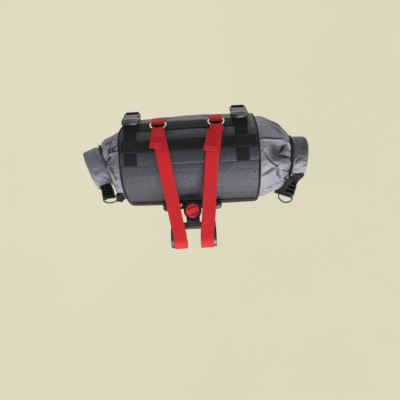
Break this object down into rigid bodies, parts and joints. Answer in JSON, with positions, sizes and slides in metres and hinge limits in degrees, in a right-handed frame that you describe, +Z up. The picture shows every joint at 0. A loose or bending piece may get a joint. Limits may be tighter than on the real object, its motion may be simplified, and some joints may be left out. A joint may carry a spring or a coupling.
{
  "type": "bicycle handlebar bag",
  "caption": "Roll-shaped handlebar bag: a grey dry bag rolled shut at both ends in a black harness, on a handlebar bracket with red straps.",
  "frame": {"origin": "on the handlebar's axis, halfway between the two clamp rings", "axes": "+X along the handlebar to the rider's right, +Y forward away from the rider, +Z up"},
  "size_m": [0.4574, 0.2754, 0.1881],
  "materials": {
    "dry_bag_cloth": "grey coated nylon with a soft sheen",
    "harness_cloth": "black coated ripstop",
    "black_webbing": "woven nylon webbing",
    "red_webbing": "woven nylon webbing",
    "black_plastic": "moulded, fine grain",
    "red_plastic": "moulded, satin",
    "ring_steel": "nickel-plated",
    "black_steel": "black coated wire"
  },
  "bodies": {
    "root": {"dry_bag": "dry_bag_cloth", "roll_left": "dry_bag_cloth", "roll_right": "dry_bag_cloth", "harness_panel": "harness_cloth", "harness_binding": "black_webbing", "webbing_row_front": "black_webbing", "webbing_row_rear": "black_webbing", "webbing_row_lower": "black_webbing", "buckle_webbing_left": "black_webbing", "buckle_webbing_right": "black_webbing", "buckle_socket_left": "black_plastic", "buckle_socket_right": "black_plastic", "buckle_tongue_left": "black_plastic", "buckle_tongue_right": "black_plastic", "compression_strap_left": "black_webbing", "compression_strap_right": "black_webbing", "d_ring_left": "ring_steel", "d_ring_right": "ring_steel", "ring_loop_left": "red_webbing", "ring_loop_right": "red_webbing", "red_strap_left": "red_webbing", "red_strap_right": "red_webbing", "bar_clamp": "black_plastic", "mount_bracket": "black_plastic", "bracket_screw_left": "ring_steel", "bracket_screw_right": "ring_steel", "closure_tab_left": "black_webbing", "closure_tab_right": "black_webbing", "closure_buckle_left": "black_plastic", "closure_buckle_right": "black_plastic", "end_ring_left": "black_steel", "end_ring_right": "black_steel", "ring_tab_left": "black_webbing", "ring_tab_right": "black_webbing"},
    "knob": {"lock_knob": "red_plastic"}
  },
  "joints": [
    {"name": "knob_turn", "type": "hinge", "parent": "root", "child": "knob", "pos_m": [0, 0.0475, 0.015], "axis": [0, -0.3746, 0.9272], "range_deg": [0, 90]}
  ]
}
